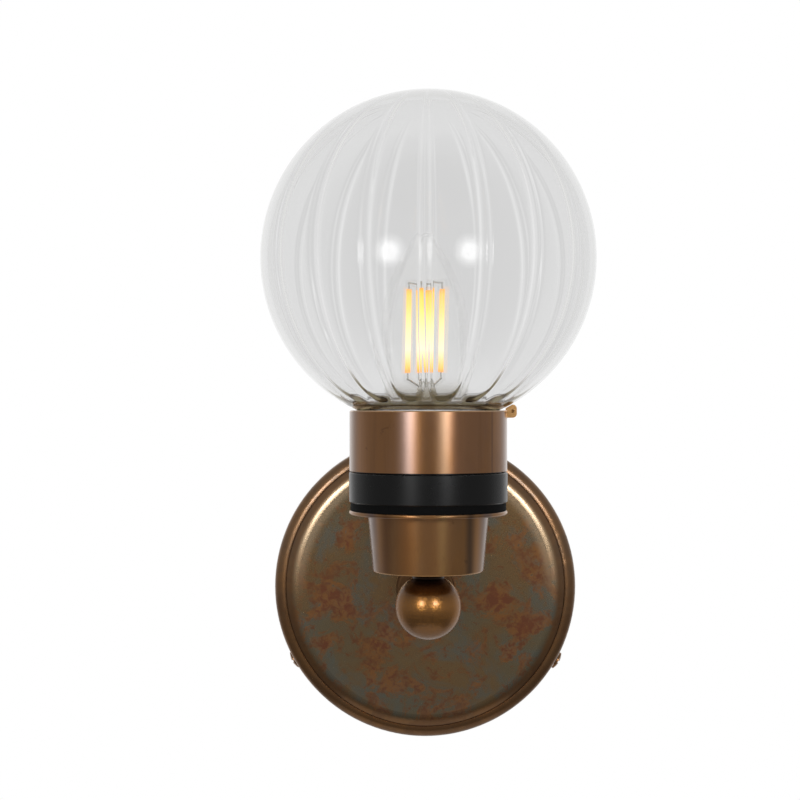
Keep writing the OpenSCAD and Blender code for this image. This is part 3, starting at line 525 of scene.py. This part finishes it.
def press_ribs(piece):
    """Pushes the hollow's vertices out between the ridges, down to the neck."""
    centre = Vector((lamp_x, lamp_y, globe_z * MM))
    for vertex in piece.data.vertices:
        arm = vertex.co - centre
        if abs(arm.length / MM - hollow_r) > 0.01 or arm.z <= -arm.length * neck_share:
            continue
        tilt = math.degrees(math.asin(max(-1.0, min(1.0, arm.z / arm.length))))
        turn = (math.degrees(math.atan2(arm.y, arm.x)) - rib_turn) * ribs / 360
        whole = math.floor(turn + 0.000001)
        part = rib_place(min(1.0, max(0.0, turn - whole)))
        foot = rib_foot + rib_cusp * abs(2 * part - 1) ** 3
        swell = smooth((tilt - foot) / rib_fade) * smooth((rib_head - tilt) / (3 * rib_fade))
        angle = math.radians(rib_turn + (whole + part) * 360 / ribs)
        radius = (hollow_r + rib_depth * lobe(part) * swell) * MM
        flat = math.cos(math.radians(tilt)) * radius
        vertex.co = centre + Vector((flat * math.cos(angle), flat * math.sin(angle),
                                     math.sin(math.radians(tilt)) * radius))


def make_globe():
    piece = turned("ribbed_globe", globe_profile(), ribs * columns_per_rib, crease_angle)
    press_ribs(piece)
    dress(piece, clear_glass("clear_glass", tone(247, 247, 247), 1.27, 1.0, glint=rib_glints))
    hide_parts("globe")
    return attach(piece, "screw_collar")


# The view
def soft_light(side):
    """A round softbox, brightest in its middle: discs of falling size, one behind the other."""
    for number, (size, watts) in enumerate(softbox_discs):
        place = Vector((softbox_place[0] * side, softbox_place[1], softbox_place[2]))
        aim = Vector((lamp_x, lamp_y, softbox_aim_z)) - place
        step = aim.normalized() * softbox_gap * number
        bpy.ops.object.light_add(type="AREA", location=place + step)
        lamp = bpy.context.object
        lamp.name = f"softbox_{'left' if side < 0 else 'right'}_{number + 1}"
        lamp.data.shape = "DISK"
        lamp.data.size = size
        lamp.data.energy = watts
        lamp.rotation_euler = aim.to_track_quat("-Z", "Y").to_euler()
        lamp.visible_camera = False


def pale_world():
    """White to the camera and through glass; a dim room in front and a bright ground behind for metal."""
    world = bpy.data.worlds.new("pale_room")
    bpy.context.scene.world = world
    tree = Tree(world)
    direction = tree.node("ShaderNodeTexCoord", {}, {}, "Generated")
    behind = tree.part(direction, "Y")
    front = tree.ramp(tree.part(direction, "Z"), -0.7, 0.1, room_below, room_front)
    side = front + (room_side - front) * tree.ramp(behind, 0.12, 0.45)
    room = side + (1 - side) * tree.ramp(behind, 0.62, 1.0)
    off_aim = tree.vector("DOT_PRODUCT", direction, Vector(backdrop_aim).normalized(), "Value")
    wide, tight = [math.cos(math.radians(angle)) for angle in backdrop_spread]
    backdrop = tree.ramp(off_aim, wide, tight, backdrop_far, backdrop_seen)
    sees = tree.light_path("Is Camera Ray")
    through = tree.light_path("Is Transmission Ray")
    diffuse = tree.light_path("Is Diffuse Ray")
    other = diffuse * room_diffuse + (1 - diffuse) * room
    level = sees + (1 - sees) * (through * backdrop + (1 - through) * other)
    background = tree.node("ShaderNodeBackground", {}, {"Color": (1, 1, 1, 1), "Strength": level})
    tree.node("ShaderNodeOutputWorld", {}, {"Surface": background})


def pale_floor():
    """A plain pale floor far below, because the light hangs on a wall. It shows nearly white."""
    bpy.ops.mesh.primitive_circle_add(vertices=96, radius=floor_size / 2, fill_type="NGON",
                                      location=(0, lamp_y, -floor_drop))
    floor = bpy.context.object
    floor.name = "pale_floor"
    bpy.ops.object.transform_apply(location=True, rotation=True, scale=True)
    material, tree = new_finish("pale_floor")
    lit = tree.node("ShaderNodeBsdfDiffuse", {}, {"Color": tone(236, 235, 232)})
    white = tree.node("ShaderNodeEmission", {}, {"Color": (1, 1, 1, 1), "Strength": 1.0})
    seen = tree.light_path("Is Camera Ray") + tree.light_path("Is Transmission Ray")
    share = seen * 0.8 + tree.light_path("Is Glossy Ray") * 0.1
    tree.node("ShaderNodeOutputMaterial", {}, {"Surface": tree.mix_shader(share, lit, white)})
    dress(floor, material)


def make_camera():
    bpy.ops.object.camera_add(location=camera_place, rotation=(math.radians(90), 0, 0))
    camera = bpy.context.object
    camera.data.lens = camera_lens
    camera.data.sensor_width = 36
    camera.data.clip_start = 0.01
    bpy.context.scene.camera = camera


def dress_nodes():
    bright = plain_metal("bright_brass", tone(206, 182, 126), 0.25)
    steel = plain_metal("zinc_steel", tone(196, 198, 202), 0.3)
    nickel = plain_metal("nickel_cap", tone(206, 204, 198), 0.2)
    rubber = moulded("black_rubber", tone(6, 6, 6), 0.75, 0.15)
    nylon = moulded("black_nylon", tone(3, 3, 3), 0.24, 0.4)
    warm = (tone(162, 110, 60), tone(142, 96, 52), tone(158, 112, 78), tone(96, 62, 36))
    olive = (tone(166, 116, 62), tone(142, 98, 54), tone(156, 114, 74), tone(92, 62, 36))
    golden = (tone(174, 118, 54), tone(150, 100, 44), tone(164, 114, 60), tone(108, 70, 36))
    # The cup's marks: pale bands at X -8, 0 and 4.7 and a pale line at the foot (Z 13.6) are painted
    # highlights, the mauve-grey bands at X ±20 are painted reflections at its sides, and X -15 and 14.2
    # are darker strips
    aged = turned_brass("aged_brass", olive, 0.27, 0.5, 0.5, 0.00005, [
        ("X", -15, 3.5, 0.7, tone(116, 74, 36)),
        ("X", -8, 5, 0.5, tone(190, 124, 62)), ("X", 0, 4, 0.5, tone(178, 124, 72)),
        ("X", 4.7, 3, 0.35, tone(160, 130, 80)), ("X", 14.2, 2.4, 0.8, tone(84, 60, 38)),
        ("X", 20, 3.4, 0.8, tone(122, 104, 98)), ("X", -20, 3.4, 0.8, tone(122, 104, 100)),
        ("Z", 13.6, 0.5, 0.8, tone(214, 160, 96))])
    # Painted shade: darker, rougher brass for the arm's boss and tube, which sit in shade behind the ball
    shaded = plain_metal("shaded_brass", tone(124, 90, 60), 0.6)
    finishes = {
        "backplate": patinated_brass(),
        "arm_boss": shaded, "arm_tube": shaded, "cup": aged, "rim_screws": aged,
        # The ball's marks: a dark band over its top is painted shade under the cup, with a lighter brown
        # band at the neck, and the darker lower half is painted shade
        "ball": turned_brass("golden_brass", golden, 0.26, 0.0, 0.5, 0.0005, [
            ("Z", 10.5, 8.5, 1.0, tone(52, 32, 16)), ("Z", 14, 2.4, 1.0, tone(150, 100, 62)),
            ("Z", -9, 9, 0.6, tone(104, 68, 34))]),
        # The collar's marks: pale bands at X -7.8 and 4.6 and a pale line round the top edge (Z 70.5) are
        # painted highlights, the darker band at X 9 and the darker sides at X ±27 are painted shade, and X
        # 21.8 is a thin darker line
        "collar": turned_brass("satin_collar_brass", warm, 0.27, 0.5, 0.68, 0.00008, [
            ("X", -7.8, 5, 0.8, tone(162, 136, 126)), ("X", 4.6, 4, 0.5, tone(162, 134, 106)),
            ("X", 9, 3, 0.6, tone(120, 80, 50)),
            ("X", 21.8, 0.5, 0.5, tone(90, 58, 38)), ("X", -27, 3, 0.6, tone(108, 80, 62)),
            ("X", 27, 3, 0.6, tone(118, 88, 70)), ("Z", 70.5, 0.5, 0.6, tone(226, 176, 118))]),
        "collar_lug": plain_metal("raw_brass", tone(196, 150, 96), 0.35),
        "holder_ring": nylon, "lampholder": nylon,
        "flange_gasket": rubber, "neck_gasket": rubber, "cushion_ring": rubber,
        "wall_bracket": steel, "block_screw": steel, "arm_washer": steel, "holder_screws": steel,
        "split_ring": steel,
        "terminal_screws": bright, "earth_screw": bright, "threaded_rod": bright, "arm_nut": bright,
        "neck_nipple": bright, "cup_nut": bright, "lampholder_shell": bright, "centre_contact": bright,
        "terminal_block": moulded("white_nylon", tone(228, 224, 212), 0.45),
        "contact_base": moulded("white_ceramic", tone(230, 226, 216), 0.7),
        "live_wire": moulded("brown_insulation", tone(116, 66, 40), 0.4),
        "neutral_wire": moulded("blue_insulation", tone(60, 110, 180), 0.4),
        "earth_wire": earth_sleeve(),
        "bulb_cap": nickel, "cap_contact": nickel, "filament_leads": nickel,
        "cap_insulator": moulded("black_cap_glass", tone(24, 24, 30), 0.15),
        "bulb_glass": clear_glass("bulb_glass", (1, 1, 1, 1), 1.2, 1.0, 0.15),
        "bulb_stem": clear_glass("stem_glass", (1, 1, 1, 1), 1.2, 0.5, 0.5),
        "filaments": lit_filament(),
    }
    for node, material in finishes.items():
        dress(nodes[node], material)


make_camera()
soft_light(-1)
soft_light(1)
pale_world()
pale_floor()
dress_nodes()
make_globe()

bpy.context.scene.view_settings.view_transform = "Standard"
